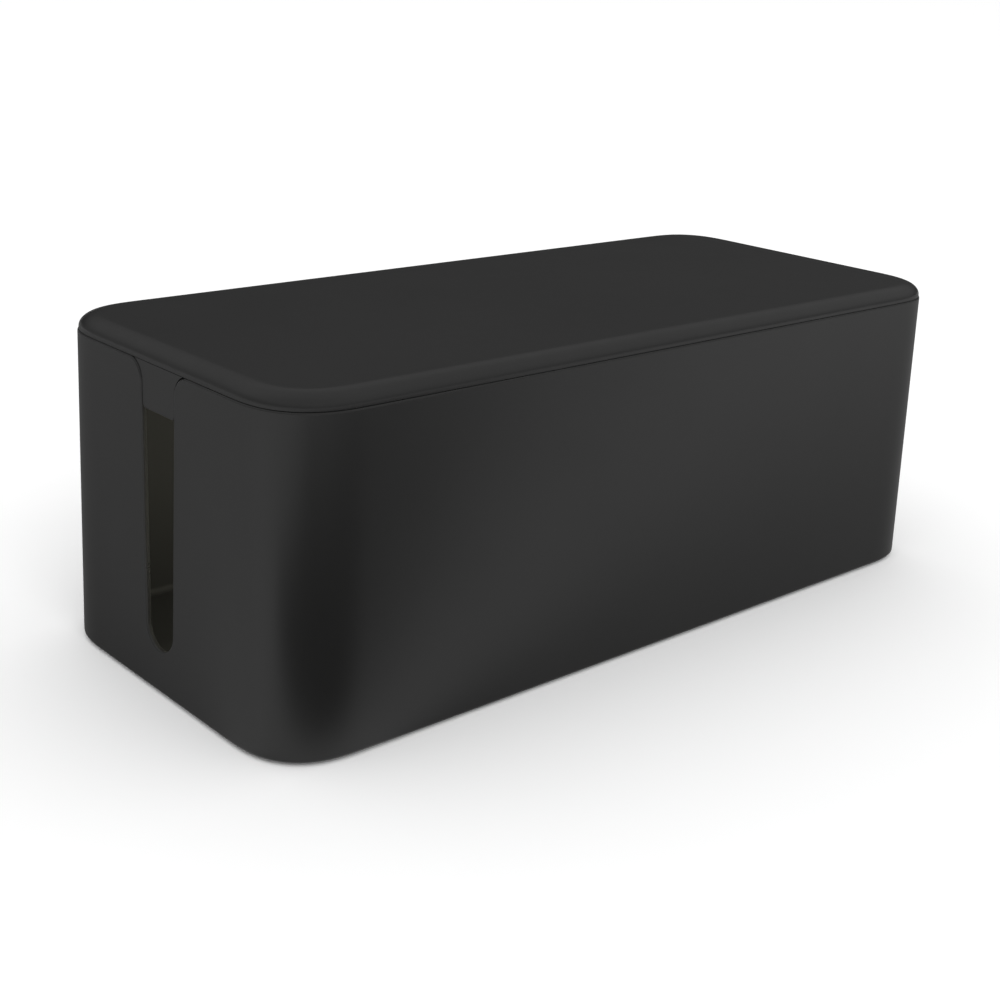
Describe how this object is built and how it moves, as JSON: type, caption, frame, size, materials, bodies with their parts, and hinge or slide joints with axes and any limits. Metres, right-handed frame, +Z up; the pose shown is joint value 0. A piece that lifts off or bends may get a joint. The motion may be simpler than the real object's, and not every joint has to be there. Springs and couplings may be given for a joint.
{
  "type": "cable management box",
  "caption": "Open-top rounded rectangular box with a lift-off lid and a cable slot in each end, hides a power strip and its leads.",
  "frame": {"origin": "on the surface the box stands on, under the centre of its plan", "axes": "+X along the length from one cable slot to the other, +Y across the width, +Z up through the lid"},
  "size_m": [0.4, 0.176, 0.145],
  "materials": {
    "box_plastic": "satin moulded plastic",
    "lid_plastic": "satin moulded plastic",
    "foot_rubber": "matt rubber"
  },
  "bodies": {
    "box": {"box_body": "box_plastic", "foot_front_left": "foot_rubber", "foot_front_right": "foot_rubber", "foot_back_left": "foot_rubber", "foot_back_right": "foot_rubber"},
    "lid": {"lid": "lid_plastic"}
  },
  "joints": [
    {"name": "lid_lift", "type": "slide", "parent": "box", "child": "lid", "axis": [0, 0, 1], "range_m": [0, 0.1]}
  ]
}
